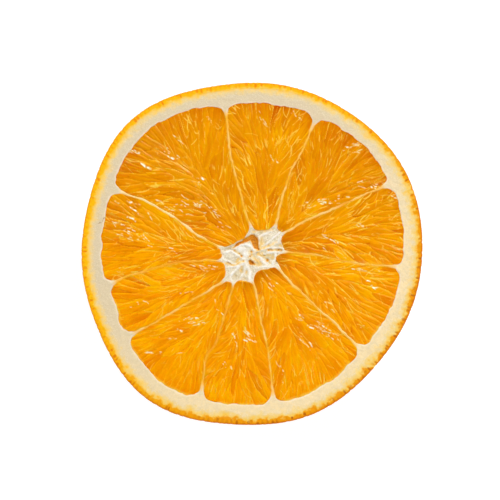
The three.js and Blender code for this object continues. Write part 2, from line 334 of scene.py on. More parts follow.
# ---- Meshes ----
def mesh_object(name, points, faces, material, attributes):
    """A smooth-shaded mesh from points in millimetres, with a value of each attribute per point."""
    mesh = bpy.data.meshes.new(name)
    points = np.asarray(points, np.float32) * MM
    faces = np.asarray(faces, np.int32)
    mesh.vertices.add(len(points))
    mesh.vertices.foreach_set("co", points.ravel())
    k = faces.shape[1]
    mesh.loops.add(faces.size)
    mesh.loops.foreach_set("vertex_index", faces.ravel())
    mesh.polygons.add(len(faces))
    mesh.polygons.foreach_set("loop_start", np.arange(0, faces.size, k, dtype=np.int32))
    mesh.polygons.foreach_set("loop_total", np.full(len(faces), k, np.int32))
    mesh.update(calc_edges=True)
    mesh.validate()
    for key, values in attributes.items():
        attribute = mesh.attributes.new(key, "FLOAT", "POINT")
        attribute.data.foreach_set("value", np.asarray(values, np.float32))
    mesh.polygons.foreach_set("use_smooth", np.full(len(mesh.polygons), True))
    obj = bpy.data.objects.new(name, mesh)
    bpy.context.scene.collection.objects.link(obj)
    obj.data.materials.append(material)
    return obj


def grid_faces(keep):
    """Triangles of the kept cells of a grid, and the index of each used grid point."""
    nx = keep.shape[1]
    i, j = np.nonzero(keep)
    a = i * (nx + 1) + j
    b, c, d = a + 1, a + nx + 1, a + nx + 2
    flip = (i + j) % 2 == 0
    t1 = np.where(flip[:, None], np.stack([a, b, d], 1), np.stack([a, b, c], 1))
    t2 = np.where(flip[:, None], np.stack([a, d, c], 1), np.stack([b, d, c], 1))
    faces = np.vstack([t1, t2])
    used, inverse = np.unique(faces, return_inverse=True)
    return used, inverse.reshape(faces.shape)


LID = HEIGHT - 1.4  # where the fine sheets take over from the solids' walls


def body_below(name):
    """The solid's own walls and floor below the cut face, open at the top."""
    solid = bpy.data.objects[name]
    solid.data.calc_loop_triangles()
    points = np.array([solid.matrix_world @ v.co for v in solid.data.vertices]) / MM
    faces = np.array([t.vertices[:] for t in solid.data.loop_triangles])
    points[:, 2] = np.minimum(points[:, 2], LID)
    keep = (points[faces][:, :, 2] < LID - 1e-4).any(1)
    return points, faces[keep]


def joined(points, faces, attributes, body, plain):
    """A fine sheet and the body below it as one mesh; the body has each attribute's plain value."""
    more, more_faces = body
    attributes = {key: np.concatenate([values, np.full(len(more), plain.get(key, 0.0))])
                  for key, values in attributes.items()}
    return np.vstack([points, more]), np.vstack([faces, more_faces + len(points)]), attributes


# ---- Materials ----
class Nodes:
    """A small helper that adds shader nodes and joins them."""

    def __init__(self, name):
        self.material = bpy.data.materials.new(name)
        self.material.use_nodes = True
        self.tree = self.material.node_tree
        self.tree.nodes.clear()
        self.shader = self.tree.nodes.new("ShaderNodeBsdfPrincipled")
        out = self.tree.nodes.new("ShaderNodeOutputMaterial")
        self.join(self.shader.outputs[0], out.inputs["Surface"])

    def join(self, a, b):
        self.tree.links.new(a, b)

    def new(self, kind, **settings):
        node = self.tree.nodes.new(kind)
        for key, value in settings.items():
            setattr(node, key, value)
        return node

    def attribute(self, name):
        return self.new("ShaderNodeAttribute", attribute_name=name).outputs["Fac"]

    def put(self, socket, value):
        if isinstance(value, bpy.types.NodeSocket):
            self.join(value, socket)
        else:
            socket.default_value = value

    def math(self, operation, a, b, clamp=False):
        node = self.new("ShaderNodeMath", operation=operation, use_clamp=clamp)
        for socket, value in zip(node.inputs, (a, b)):
            self.put(socket, value)
        return node.outputs[0]

    def times(self, a, b, clamp=False):
        return self.math("MULTIPLY", a, b, clamp)

    def plus(self, a, b):
        return self.math("ADD", a, b)

    def minus(self, a, b):
        return self.math("SUBTRACT", a, b)

    def swing(self, value, width):
        """A value that lies round 0.5 as a swing to both sides of 0."""
        return self.times(self.minus(value, 0.5), width)

    def mix(self, factor, a, b, blend="MIX"):
        node = self.new("ShaderNodeMix", data_type="RGBA", blend_type=blend)
        self.put(node.inputs["Factor"], factor)
        self.put(node.inputs[6], a)
        self.put(node.inputs[7], b)
        return node.outputs[2]

    def span(self, value, low, high, to_low=0.0, to_high=1.0):
        node = self.new("ShaderNodeMapRange", clamp=True)
        for i, v in enumerate((value, low, high, to_low, to_high)):
            self.put(node.inputs[i], v)
        return node.outputs[0]

    def noise(self, scale, detail, roughness, distortion=0.0):
        node = self.new("ShaderNodeTexNoise")
        values = {"Scale": scale, "Detail": detail, "Roughness": roughness, "Distortion": distortion}
        for key, value in values.items():
            node.inputs[key].default_value = value
        self.join(self.place(), node.inputs["Vector"])
        return node.outputs["Fac"]

    def place(self):
        """Object coordinates in millimetres."""
        where = self.new("ShaderNodeTexCoord").outputs["Object"]
        scaled = self.new("ShaderNodeVectorMath", operation="SCALE")
        self.join(where, scaled.inputs[0])
        scaled.inputs["Scale"].default_value = 1000.0
        return scaled.outputs[0]

    def bump(self, height, distance):
        node = self.new("ShaderNodeBump")
        node.inputs["Strength"].default_value = 1.0
        node.inputs["Distance"].default_value = distance * MM
        self.join(height, node.inputs["Height"])
        self.join(node.outputs[0], self.shader.inputs["Normal"])

    def surface(self, **values):
        for key, value in values.items():
            self.put(self.shader.inputs[key.replace("_", " ")], value)


def rgb(r, g, b):
    """A colour given as display values from 0 to 255, as linear light."""
    def linear(v):
        v = v / 255
        return v / 12.92 if v <= 0.04045 else ((v + 0.055) / 1.055) ** 2.4
    return (linear(r), linear(g), linear(b), 1.0)


def pulp_material():
    m = Nodes("pulp")
    tone = m.attribute("tone")
    line = m.attribute("line")
    grain = m.noise(1.6, 3.0, 0.6)
    fine = m.noise(5.0, 2.0, 0.5)
    tone = m.plus(tone, m.swing(grain, 0.45))
    colour = m.mix(m.span(tone, -0.6, 1.0), rgb(211, 93, 0), rgb(255, 182, 0))
    # painted shade: the pulp's back half is made a little darker and less red
    colour = m.mix(m.attribute("back"), colour, rgb(243, 244, 255), "MULTIPLY")
    colour = m.mix(m.attribute("dim"), colour, rgb(230, 234, 255), "MULTIPLY")
    line = m.times(m.span(line, 0.05, 0.95), m.span(fine, 0.3, 0.7, 0.6, 1.1), clamp=True)
    colour = m.mix(line, colour, rgb(255, 222, 92))
    # painted highlight: the glinting flakes are painted pale cream to white, and given more clear coat
    spark = m.attribute("spark")
    colour = m.mix(spark, colour, m.mix(m.span(spark, 0.45, 0.85), rgb(255, 238, 160), rgb(255, 252, 226)))
    m.surface(Base_Color=colour, Roughness=0.3, IOR=1.36, Subsurface_Weight=m.minus(1.0, spark),
              Subsurface_Radius=(0.6, 0.34, 0.22), Subsurface_Scale=0.6 * MM,
              Specular_IOR_Level=0.04, Coat_Weight=m.span(spark, 0.25, 0.75, 0.04, 1.0), Coat_Roughness=0.04)
    m.bump(m.noise(3.2, 3.0, 0.55), 0.025)
    return m.material


def rind_colour(m):
    """Colour of the cut rind by depth: orange, yellow, cream, with painted shade on the lower right; and how
    far it's plain flesh.
    """
    skin = m.attribute("skin")
    gland = m.attribute("gland")
    shade = m.attribute("shade")
    blot = m.noise(0.9, 3.0, 0.5)
    wide = m.noise(0.4, 2.0, 0.5)
    wander = m.swing(blot, 3.0)
    wander = m.plus(wander, m.swing(wide, 2.4))
    wander = m.times(wander, m.span(shade, 0.0, 1.0, 0.6, 1.0))
    depth = m.minus(m.plus(skin, wander), m.times(m.attribute("left"), 0.35))
    # painted shade: the skin's cut edge is darker on the lower right
    outer = m.mix(shade, rgb(234, 158, 0), rgb(216, 122, 0))
    inner = m.mix(shade, rgb(250, 184, 4), rgb(236, 152, 2))
    colour = m.mix(m.span(m.plus(skin, m.times(wander, 0.15)), 0.1, 0.6), outer, inner)
    # depths where the next colour starts and is full, and that colour without and with the shade
    bands = [(0.75, 1.15, rgb(250, 200, 78), rgb(244, 195, 78)),
             (1.15, 1.8, rgb(236, 204, 132), rgb(241, 207, 124)),
             (1.8, 2.8, rgb(217, 198, 163), rgb(244, 219, 168))]
    for start, full, plain, shaded in bands:
        colour = m.mix(m.span(depth, start, full), colour, m.mix(shade, plain, shaded))
    tinted = m.times(shade, m.span(depth, 0.8, 1.6))
    tint = m.times(m.span(m.noise(0.3, 3.0, 0.6), 0.52, 0.66, 0.0, 0.75), tinted)
    tint = m.times(tint, m.span(skin, 3.6, 2.4))
    colour = m.mix(tint, colour, rgb(250, 216, 120))
    strength = m.times(gland, m.span(shade, 0.0, 1.0, 0.8, 0.95))
    # painted shade: the glands too are darker on the lower right
    colour = m.mix(strength, colour, m.mix(shade, rgb(236, 126, 0), rgb(186, 96, 2)))
    return colour, m.span(depth, 1.4, 2.4)


def peel_face_material():
    m = Nodes("peel_cut")
    m.surface(Base_Color=rind_colour(m)[0], Roughness=0.6, IOR=1.4, Specular_IOR_Level=0.12,
              Subsurface_Weight=0.08, Subsurface_Radius=(1.2, 0.6, 0.15), Subsurface_Scale=0.8 * MM)
    m.bump(m.noise(3.0, 3.0, 0.6), 0.08)
    return m.material


def pith_material():
    m = Nodes("pith")
    colour, flesh = rind_colour(m)
    fibre = m.noise(0.8, 4.0, 0.65, distortion=0.6)
    fine = m.noise(3.5, 3.0, 0.6)
    # random grey and pale mottling of the flesh
    fibre_mottle = m.times(m.span(fibre, 0.4, 0.66, 0.0, 0.4), flesh)
    light = m.times(m.span(fine, 0.5, 0.68, 0.0, 0.4), flesh)
    colour = m.mix(fibre_mottle, colour, rgb(212, 194, 158))
    colour = m.mix(light, colour, rgb(246, 234, 210))
    white = m.attribute("white")
    colour = m.mix(white, colour, m.mix(m.span(fine, 0.34, 0.62), rgb(210, 194, 160), rgb(244, 235, 213)))
    # painted shade: the core's low places are darker
    colour = m.mix(m.attribute("painted_low_shade"), colour, rgb(204, 186, 148))
    colour = m.mix(m.times(m.attribute("snow"), 0.85), colour, rgb(250, 246, 239))
    film = m.attribute("film")
    colour = m.mix(film, colour, m.mix(m.attribute("milk"), rgb(252, 182, 28), rgb(255, 220, 150)))
    colour = m.mix(m.attribute("covered"), colour, rgb(246, 160, 8))
    colour = m.mix(m.attribute("line"), colour, rgb(255, 234, 208))
    stain = m.attribute("stain")
    colour = m.mix(m.span(stain, 0.0, 0.5), colour, rgb(248, 206, 112))
    deep_stain = m.mix(m.span(fine, 0.35, 0.6), rgb(188, 104, 0), rgb(224, 148, 14))
    colour = m.mix(m.span(stain, 0.3, 0.9), colour, deep_stain)
    colour = m.mix(m.attribute("crack"), colour, rgb(168, 112, 52))
    m.surface(Base_Color=colour, Roughness=0.5, IOR=1.4, Specular_IOR_Level=0.35, Subsurface_Weight=0.1,
              Subsurface_Radius=(1.0, 0.8, 0.5), Subsurface_Scale=0.6 * MM)
    m.bump(m.noise(2.4, 3.0, 0.55), 0.07)
    return m.material


def peel_material():
    m = Nodes("peel")
    pit = m.attribute("pit")
    # shade here is a slow random change of hue over the skin
    shade = m.noise(0.05, 2.0, 0.5)
    patch = m.noise(0.35, 3.0, 0.6)
    colour = m.mix(m.span(shade, 0.35, 0.65), rgb(228, 115, 0), rgb(242, 141, 0))
    colour = m.mix(m.times(m.span(patch, 0.4, 0.7), 0.35), colour, rgb(244, 142, 2))
    # painted shade: the skin is darker in its pits
    colour = m.mix(m.times(pit, 0.5), colour, rgb(200, 86, 0))
    colour = m.mix(m.attribute("scar"), colour, rgb(180, 108, 30))
    colour = m.mix(m.attribute("inner"), colour, rgb(240, 210, 150))
    m.surface(Base_Color=colour, Roughness=m.span(patch, 0.3, 0.7, 0.3, 0.42), IOR=1.4,
              Specular_IOR_Level=0.35, Subsurface_Weight=0.15, Subsurface_Radius=(1.2, 0.5, 0.1),
              Subsurface_Scale=0.8 * MM)
    m.bump(m.noise(2.6, 3.0, 0.6), 0.06)
    return m.material


# ---- The cut face: one grid of points over the whole fruit, shared by all tissues ----
STEP = 0.13
HALF_SIDE = ACROSS / 2 + 2  # of the grid, which reaches a little past the skin
MARGIN = 0.3  # the sheets of neighbouring tissues run this far under each other
cell_count = int(2 * HALF_SIDE / STEP)
axis = (np.arange(cell_count + 1) - cell_count / 2) * STEP
grid_x, grid_y = np.meshgrid(axis, axis)
plan = Plan(grid_x.ravel(), grid_y.ravel())
EDGE_FALL = 3.0  # slope at which a sheet dives under its neighbour
KEY_AZIMUTH = 65
LIGHT_BEARING = radians(KEY_AZIMUTH)


def cells(point_mask):
    """The grid's cells that have a corner in the mask."""
    m = point_mask.reshape(grid_x.shape)
    return m[:-1, :-1] | m[1:, :-1] | m[:-1, 1:] | m[1:, 1:]


def unit(bearing):
    """Cosine and sine of a bearing in degrees."""
    return cos(radians(bearing)), sin(radians(bearing))


# ---- Pulp ----
SAC_TRIES = 2500
SEED_DEPTH = 0.2  # seeds of sacs keep this far inside their segment
SUNKEN_SHARE, SUNKEN_DROP = 0.08, 0.2  # sacs that lie lower and darker than the rest
FACE_DROP, BORDER_DROP = 0.24, 0.13  # below the cut: the sacs' seams, and the segment's border
MIDDLE_TONE = 0.53
SHADED_BEARING = radians(75)  # the rim nearest the key light lies in its own shade
FLAKE_BEARING = radians(150)
FLAKE_RISE = 0.28  # height of a flake's crest as a share of its width
# the largest glinting flakes: segment, x, y, bearing in degrees, half length, width
BIG_FLAKES = [
    (9, -24.4, 19.8, 150, 1.8, 0.55), (9, -18.6, 21.9, 155, 1.0, 0.35), (9, -11.2, 17.0, 150, 0.8, 0.5),
    (9, -26.2, 23.0, 160, 0.7, 0.4), (8, -30.5, 11.5, 155, 1.2, 0.35), (8, -27.5, 8.0, 150, 1.3, 0.4),
    (1, 28.4, 15.3, 165, 0.9, 0.35), (4, 8.6, -9.3, 160, 0.8, 0.4), (4, 13.5, -17.0, 155, 1.2, 0.35),
    (0, 6.5, 8.5, 150, 0.8, 0.3), (6, -16.5, -17.5, 150, 0.8, 0.3), (5, -1.5, -20.0, 160, 0.7, 0.3)]
# where a few smaller flakes gather, in x and y, read from the photo
CLUSTERS = [
    (-27.8, 23.4), (-22.8, 29.0), (-6.6, 5.9), (-12.9, 11.1), (-16.5, 26.0), (-28.9, 4.2), (-25.5, 3.8),
    (-31.2, 6.7), (-26.1, 9.9), (-27.8, 11.8), (-18.4, 9.7), (-17.7, 0.8), (-9.5, -2.9), (-29.5, -3.8),
    (10.5, 31.4), (2.5, 30.5), (5.0, 22.0), (23.1, 24.6), (29.0, 15.9), (25.9, 16.3), (17.3, 11.7),
    (13.3, 11.1), (20.4, 12.9), (25.9, 6.5), (32.2, 12.6), (18.0, 3.0), (3.6, -6.6), (11.6, -14.6),
    (17.9, -18.6), (16.8, -10.9), (24.8, -16.1), (24.2, -3.8), (12.4, -20.3), (-11.2, -3.2), (-16.1, -8.6),
    (-25.3, -11.8), (-13.5, -15.2), (-7.2, -13.1), (-20.4, -19.2), (-22.3, -22.6), (-17.5, -22.3),
    (-4.9, -18.9), (-5.5, -25.2), (-0.4, -19.2), (7.0, -27.0), (28.0, -8.0)]
CLUSTER_ALONG, CLUSTER_ASIDE = 1.1, 0.45  # spread of a cluster's flakes
# denser gatherings of thin flakes: x, y, how many, spread along, spread aside
SWARMS = [
    (-27.2, 4.6, 15, 2.7, 0.9), (-12.4, 16.8, 7, 0.8, 0.7), (-10.8, 10.2, 9, 2.0, 0.7),
    (16.4, -17.0, 14, 2.3, 0.9), (-12.9, -15.4, 7, 1.2, 0.5), (-0.8, -18.6, 11, 1.7, 0.7),
    (19.0, 12.0, 9, 2.4, 0.6), (23.6, 24.5, 7, 1.1, 0.7), (-26.6, 10.4, 7, 1.3, 0.5),
    (5.4, -7.6, 6, 1.4, 0.6), (-18.0, 22.6, 6, 1.4, 0.5), (-28.8, 24.0, 6, 0.9, 0.5),
    (-17.2, 10.2, 8, 2.4, 0.6), (-11.0, -3.4, 6, 1.0, 0.5), (20.0, -1.0, 5, 1.6, 0.4),
    (-9.5, 30.2, 5, 0.9, 0.5)]
# sacs cut across, seen as pale rings: x, y, bearing in degrees, half length, half width
RINGS = [
    (27.5, 20.9, 60, 1.1, 0.9), (24.6, 23.8, 140, 1.0, 0.6), (32.6, 12.6, 80, 1.3, 0.6),
    (-10.4, 30.4, 20, 1.3, 0.8), (-7.6, 29.6, 70, 1.1, 0.7), (-12.8, 28.6, 100, 1.4, 0.6),
    (-3.4, -9.2, 115, 1.8, 0.6), (2.2, -11.6, 80, 1.6, 0.6), (-30.6, -5.4, 20, 1.2, 0.7),
    (14.2, -5.6, 140, 1.5, 0.6), (17.6, -4.2, 160, 1.2, 0.6)]
WISPS = 70
# for each segment, how pale the films between its sacs are and how strongly its sacs differ
LINE_STRENGTH = (1.6, 1.1, 1.7, 1.15, 1.0, 0.75, 0.8, 1.0, 1.15, 1.2)
TONE_STRENGTH = (1.2, 1.0, 1.2, 1.05, 1.0, 1.0, 1.1, 1.2, 1.1, 0.95)
# a cluster's 0 stands for a random few flakes
gatherings = [(x, y, 0, CLUSTER_ALONG, CLUSTER_ASIDE) for x, y in CLUSTERS] + SWARMS
gathering_home = Plan(*np.array(gatherings)[:, :2].T).segment


class SegmentFace:
    """A segment's part of the cut face: its points, its sacs and where each point lies in them."""

    def __init__(self, index):
        self.index = index
        region = (plan.inside > -MARGIN) & (plan.segment == index) & (plan.rim > -MARGIN)
        used, self.faces = grid_faces(cells(region))
        self.x, self.y = plan.x[used], plan.y[used]
        self.inside, self.rim, self.core = plan.inside[used], plan.rim[used], plan.core[used]
        pool = np.nonzero(self.inside > SEED_DEPTH)[0]
        self.seeds = scatter_sacs(index, self.x[pool], self.y[pool], min(SAC_TRIES, len(pool)))
        self.sac, other, self.border, along, self.aside = sac_field(self.seeds, self.x, self.y, index)
        self.draws = np.random.default_rng(500 + index)
        count = len(self.seeds)
        self.sac_tone = np.clip(self.draws.normal(0.5, 0.11, count), 0, 1)
        self.sac_level = self.draws.normal(0, 0.05, count)
        sunken = self.draws.random(count) < SUNKEN_SHARE
        self.sac_level[sunken] -= SUNKEN_DROP
        self.sac_tone[sunken] *= 0.6
        # a number from 0 to 1 for each pair of neighbouring sacs
        pair = np.minimum(self.sac, other) * 91.7 + np.maximum(self.sac, other) * 37.3 + index * 11.1
        pair = np.sin(pair) * 43758.5453
        self.pair = pair - np.floor(pair)
        self.flank = smooth(np.abs(self.aside) / (0.7 * SAC_HALF_WIDTH))
        own = self.sac_tone[self.sac]
        self.streak = noise(self.aside * 3.2 + 40 * own, along * 0.35, 1.0, 81 + index, 3)
        thread = noise(self.aside * 1.5 + 70 * own, along * 0.16, 1.0, 86 + index)
        self.thread = gaussian(thread, 0.07) * smooth(0.2 + self.noise(2.0, 88))
        # glassy parts with few marks and busy parts with many
        self.busy = smooth(0.4 + 0.8 * self.noise(5.5, 110) + 0.3 * smooth((self.rim - 2) / 6))

    def noise(self, size, seed):
        """Noise of the segment's own over its points."""
        return noise(self.x, self.y, size, seed + self.index)


def wisps(face):
    """Short pale fibres that lie roughly along the sacs."""
    draws, wisp = face.draws, np.zeros(len(face.x))
    for _ in range(WISPS):
        x, y, way_x, way_y = face.seeds[draws.integers(len(face.seeds))]
        x, y = x + draws.normal(0, 1.2), y + draws.normal(0, 1.2)
        turn = draws.normal(0, 0.35)
        way_x, way_y = rotated(way_x, way_y, cos(turn), sin(turn))
        long, bend = draws.uniform(0.5, 2.0), draws.normal(0, 0.14)
        u, v = along_aside(face.x, face.y, x, y, way_x, way_y)
        v = v + bend * u * u
        mark = gaussian(v, 0.085) * smooth((long - np.abs(u)) / 0.7) * draws.uniform(0.3, 0.9)
        wisp = np.maximum(wisp, mark)
    return wisp


def ring_lines(x, y):
    """Broken pale outlines of the sacs that are cut across."""
    line, waver = np.zeros(len(x)), 0.12 * noise(x, y, 1.1, 99)
    broken = smooth(0.5 + 1.1 * noise(x, y, 0.9, 100))
    for at_x, at_y, bearing, long, wide in RINGS:
        u, v = along_aside(x, y, at_x, at_y, *unit(bearing))
        off = (np.hypot(u / long, v / wide) - 1) * wide + waver
        line = np.maximum(line, 0.55 * gaussian(off, 0.09) * broken)
    return line


def pale_lines(face):
    """How pale each point is: films between sacs, threads, wisps, rings, the segment's border, and painted
    light by the rind on the lower side.
    """
    strength = np.clip((face.pair - 0.35) / 0.65, 0, 1)
    strength = strength * (0.6 + 0.4 * face.noise(1.6, 71))
    line = 0.9 * strength * face.flank * gaussian(face.border, 0.09)
    for more in (0.5 * face.thread, wisps(face), ring_lines(face.x, face.y)):
        line = np.maximum(line, more)
    line = np.clip(line * LINE_STRENGTH[face.index] * (0.55 + 0.75 * face.busy), 0, 0.95)
    by_wall = gaussian(np.maximum(face.inside, 0), 0.22) * smooth((face.rim - 0.6) / 1.2)
    line = np.maximum(line, 0.26 * by_wall)
    # painted light: a pale band along the rind on the lower side
    by_rim = gaussian(np.maximum(face.rim, 0), 0.42) * smooth(-face.y / 18)
    by_rim = by_rim * smooth(0.7 + noise(face.x, face.y, 2.5, 92))
    return np.maximum(line, 0.6 * by_rim)


def sac_tones(face):
    """Tone from dark orange at -0.6 to yellow at 1, painted light and shade included; how dim each point is
    beside the core.
    """
    tone = face.sac_tone[face.sac] + 0.4 * (0.4 + 0.8 * face.busy) * face.streak
    tone = tone + 0.15 * face.noise(4.0, 91)
    tone = tone + 0.22 * np.exp(-face.border / 0.3) * (0.3 + 0.7 * face.flank) - 0.01
    # the sides of the sacs that face the light are lighter
    way_x, way_y = face.seeds[face.sac, 2], face.seeds[face.sac, 3]
    across = -way_y * cos(LIGHT_BEARING) + way_x * sin(LIGHT_BEARING)
    tone = tone + 0.3 * np.sign(face.aside) * across * face.flank * np.exp(-face.border / 0.25)
    # painted shade: dark lines in the gaps between some neighbouring sacs
    painted_gap_shade = np.clip((0.55 - face.pair) / 0.4, 0, 1) * face.flank * gaussian(face.border, 0.1)
    patchy = np.clip(0.7 + 0.6 * face.noise(1.3, 75), 0, 1)
    tone = tone - 0.75 * (0.3 + 0.9 * face.busy) * painted_gap_shade * patchy
    tone = MIDDLE_TONE + (tone - MIDDLE_TONE) * TONE_STRENGTH[face.index]
    bearing = np.arctan2(face.y, face.x)
    # painted shade: darker by the rim on the key light's side
    shaded = smooth(0.3 + 0.7 * np.cos(bearing - SHADED_BEARING)) * fade(face.rim, 3.0)
    tone = tone - 0.4 * shaded - 0.15 * fade(face.inside, 0.5)
    near_core = gaussian(np.maximum(face.core, 0), 2.7)
    away = smooth(0.5 + 0.5 * np.cos(bearing + radians(45)))
    return tone - near_core * (0.05 + 0.34 * away), 0.8 * near_core * away


def segment_flakes(face):
    """A segment's flakes: x, y, bearing in degrees, half length, width and brightness."""
    flakes = [flake[1:] + (1.0,) for flake in BIG_FLAKES if flake[0] == face.index]
    draws = face.draws
    for (x, y, crowd, spread, breadth), home in zip(gatherings, gathering_home):
        if home != face.index:
            continue
        # they lie between the direction of the sacs and the bearing most glints have
        flow_x, flow_y = flow(face.index, np.array(x), np.array(y))
        way = atan2(flow_y, flow_x)
        lean = (FLAKE_BEARING - way + pi / 2) % pi - pi / 2
        trend = way + 0.6 * lean
        for _ in range(crowd or draws.integers(3, 7)):
            along, aside = draws.normal(0, spread), draws.normal(0, breadth)
            flakes.append((x + cos(trend) * along - sin(trend) * aside,
                           y + sin(trend) * along + cos(trend) * aside,
                           degrees(trend) + draws.normal(0, 10),
                           0.25 + 1.1 * draws.uniform(0, 1) ** 1.5,
                           draws.uniform(0.09, 0.15 if crowd else 0.19),
                           min(1.0, draws.uniform(0.55, 1.15))))
    return flakes


def raise_flakes(face, z):
    """Flakes of wet film, each with a long slope to the light: the face with them, and the glints, which are
    also painted as pale highlights.
    """
    x, y = face.x, face.y
    spark, waver = np.zeros(len(x)), 0.12 * noise(x, y, 0.6, 97)
    patchy = smooth(0.7 + noise(x, y, 0.5, 98))
    for at_x, at_y, bearing, long, wide, bright in segment_flakes(face):
        c, s = unit(bearing)
        u, v = along_aside(x, y, at_x, at_y, c, s)
        if -cos(LIGHT_BEARING) * s + sin(LIGHT_BEARING) * c < 0:
            v = -v
        v = v + waver + face.draws.normal(0, 0.12) * u * u
        slope = 0.2 * v + 0.08 * np.maximum(v, 0) ** 2 / wide
        tent = np.minimum(1 - slope / (FLAKE_RISE * wide), 1 + v / 0.12)
        span = smooth((long - np.abs(u)) / 0.3)
        z = z + FLAKE_RISE * wide * np.clip(tent, 0, 1) * span
        # painted highlight: how pale each flake is painted, and how much clear coat it gets
        spark = np.maximum(spark, bright * np.clip(1.3 * tent, 0, 1) * span * patchy)
    return z, spark


def pulp_surface(face):
    """Height of the cut pulp, each sac a low swelling at a level of its own, and its glints, also painted as
    highlights.
    """
    bulge = 0.09 * smooth(face.border / 0.5)
    z = HEIGHT - FACE_DROP + bulge + face.sac_level[face.sac] + 0.12 * face.noise(5.0, 95)
    z, spark = raise_flakes(face, z + 0.02 * face.streak + 0.03 * face.thread)
    blend = fade(face.inside, 0.25)
    z = z * (1 - blend) + (HEIGHT - BORDER_DROP) * blend + EDGE_FALL * np.minimum(face.inside, 0)
    return z, spark


def build_pulp(index, material):
    face = SegmentFace(index)
    line = pale_lines(face)
    tone, dim = sac_tones(face)
    z, spark = pulp_surface(face)
    node = f"segment_{index + 1:02d}"
    # back: painted shade that darkens the pulp's back half
    attributes = {"tone": tone, "line": line, "spark": spark, "back": smooth((face.y + 6) / 20), "dim": dim}
    points, faces, attributes = joined(np.stack([face.x, face.y, z], 1), face.faces, attributes,
                                       body_below(node), {"tone": 0.5})
    obj = mesh_object(f"pulp_{index + 1:02d}", points, faces, material, attributes)
    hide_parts(node)
    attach(obj, "root")


pulp = pulp_material()
for index in range(len(SEGMENTS)):
    build_pulp(index, pulp)

# ---- Pith, membranes and core ----
# the crescent hollow in the core: points of its middle line and the half width there
HOLLOW_SPINE = [
    (-4.4, 1.3, 0.12), (-3.4, 2.05, 0.3), (-2.2, 2.85, 0.4), (-1.2, 3.35, 0.48), (-0.1, 3.75, 0.65),
    (0.55, 3.0, 0.8), (0.9, 1.8, 0.6), (1.45, 1.0, 0.25)]
# small pits and torn places: x, y, half width, depth from 0 to 1
PITS = [
    (-3.86, 0.75, 0.18, 0.6), (-3.0, 0.1, 0.12, 0.6), (-2.45, -0.57, 0.22, 0.75), (-0.16, 0.57, 0.15, 0.7),
    (-0.53, -0.66, 0.15, 0.7), (-0.07, -0.18, 0.12, 0.7), (-0.3, -1.75, 0.22, 0.9),
    (-0.05, -2.15, 0.3, 1.0), (0.4, -2.35, 0.2, 0.75), (0.95, -2.3, 0.35, 0.4), (3.5, -1.5, 0.25, 0.7),
    (3.9, 0.8, 0.15, 0.8), (4.5, 0.85, 0.15, 0.8), (6.1, 0.75, 0.15, 0.8), (6.7, 0.75, 0.15, 0.8),
    (2.2, 0.05, 0.1, 0.6), (2.7, -0.5, 0.1, 0.6), (-5.4, -2.1, 0.15, 0.5), (-5.0, -2.15, 0.15, 0.5),
    (-1.96, -1.8, 0.1, 0.5), (-2.25, -3.0, 0.15, 0.35), (-2.45, -3.7, 0.15, 0.4), (-3.8, -4.9, 0.15, 0.3),
    (1.6, -1.3, 0.25, 0.35), (5.6, -1.7, 0.15, 0.5)]
# white folds that stand up from the core: points, half width, height
FOLDS = [
    ([(-3.7, 1.1), (-2.9, 1.95), (-1.4, 2.2), (-0.25, 1.8), (0.7, 0.7)], 0.4, 0.4),
    ([(-2.9, 1.1), (-1.6, 0.9), (-1.4, -0.4), (-1.5, -1.4)], 0.5, 0.3),
    ([(1.0, 0.5), (3.0, 1.15), (4.5, 1.5), (8.0, 0.9)], 0.22, 0.35),
    ([(1.5, 2.4), (1.6, 3.6), (2.9, 4.6), (4.4, 5.3)], 0.25, 0.3),
    ([(2.4, 1.7), (3.8, 2.6), (5.2, 4.0), (6.4, 4.9)], 0.2, 0.25),
    ([(4.6, 1.9), (6.0, 2.6), (6.6, 3.8)], 0.25, 0.25),
    ([(1.9, 0.0), (3.6, 0.1), (5.4, 0.35), (7.5, 0.1)], 0.25, 0.3),
    ([(5.4, 0.3), (5.3, -1.2), (4.8, -2.4), (4.7, -3.2)], 0.28, 0.3),
    ([(0.8, -3.3), (3.0, -3.0), (4.7, -3.2)], 0.25, 0.3),
    ([(1.6, -0.8), (2.4, -1.6), (3.6, -2.4)], 0.3, 0.25),
    ([(-6.3, 0.2), (-5.2, 0.7), (-3.2, -0.3), (-2.0, -1.3)], 0.25, 0.3),
    ([(-7.1, -0.8), (-5.8, -1.6), (-3.5, -2.5), (-1.6, -1.9)], 0.22, 0.3),
    ([(-5.8, -3.0), (-4.4, -2.9), (-3.0, -3.0), (-1.6, -2.2)], 0.25, 0.3),
    ([(-4.3, -6.9), (-4.9, -5.2), (-4.2, -4.2), (-3.0, -3.2)], 0.28, 0.3),
    ([(-0.5, -6.4), (-0.4, -4.4), (-1.2, -2.3)], 0.35, 0.35),
    ([(-2.8, -5.8), (-1.9, -4.4), (-1.4, -3.0)], 0.25, 0.25)]
# yellow streaks over the core: points, half width, strength
STREAKS = [
    ([(0.7, 0.6), (3.0, 1.35), (5.6, 2.6)], 0.3, 0.45),
    ([(-6.0, -2.1), (-3.9, -2.65), (-1.8, -1.7)], 0.28, 0.5),
    ([(0.3, 5.1), (2.6, 5.4), (4.6, 5.6)], 0.35, 0.5), ([(1.4, 1.2), (2.2, 2.2), (2.0, 3.4)], 0.6, 0.35),
    ([(0.6, -1.2), (1.6, -1.9), (1.9, -2.6)], 0.6, 0.4),
    ([(2.3, 0.2), (2.8, -0.7), (3.6, -1.5)], 0.35, 0.4),
    ([(-0.5, 0.6), (0.3, -0.2), (-0.6, -0.8)], 0.35, 0.4), ([(-2.4, -2.9), (-2.5, -3.9)], 0.3, 0.4),
    ([(3.6, 0.8), (6.8, 0.8)], 0.25, 0.45), ([(-3.9, 0.8), (-2.9, 0.0), (-2.4, -0.7)], 0.25, 0.4)]
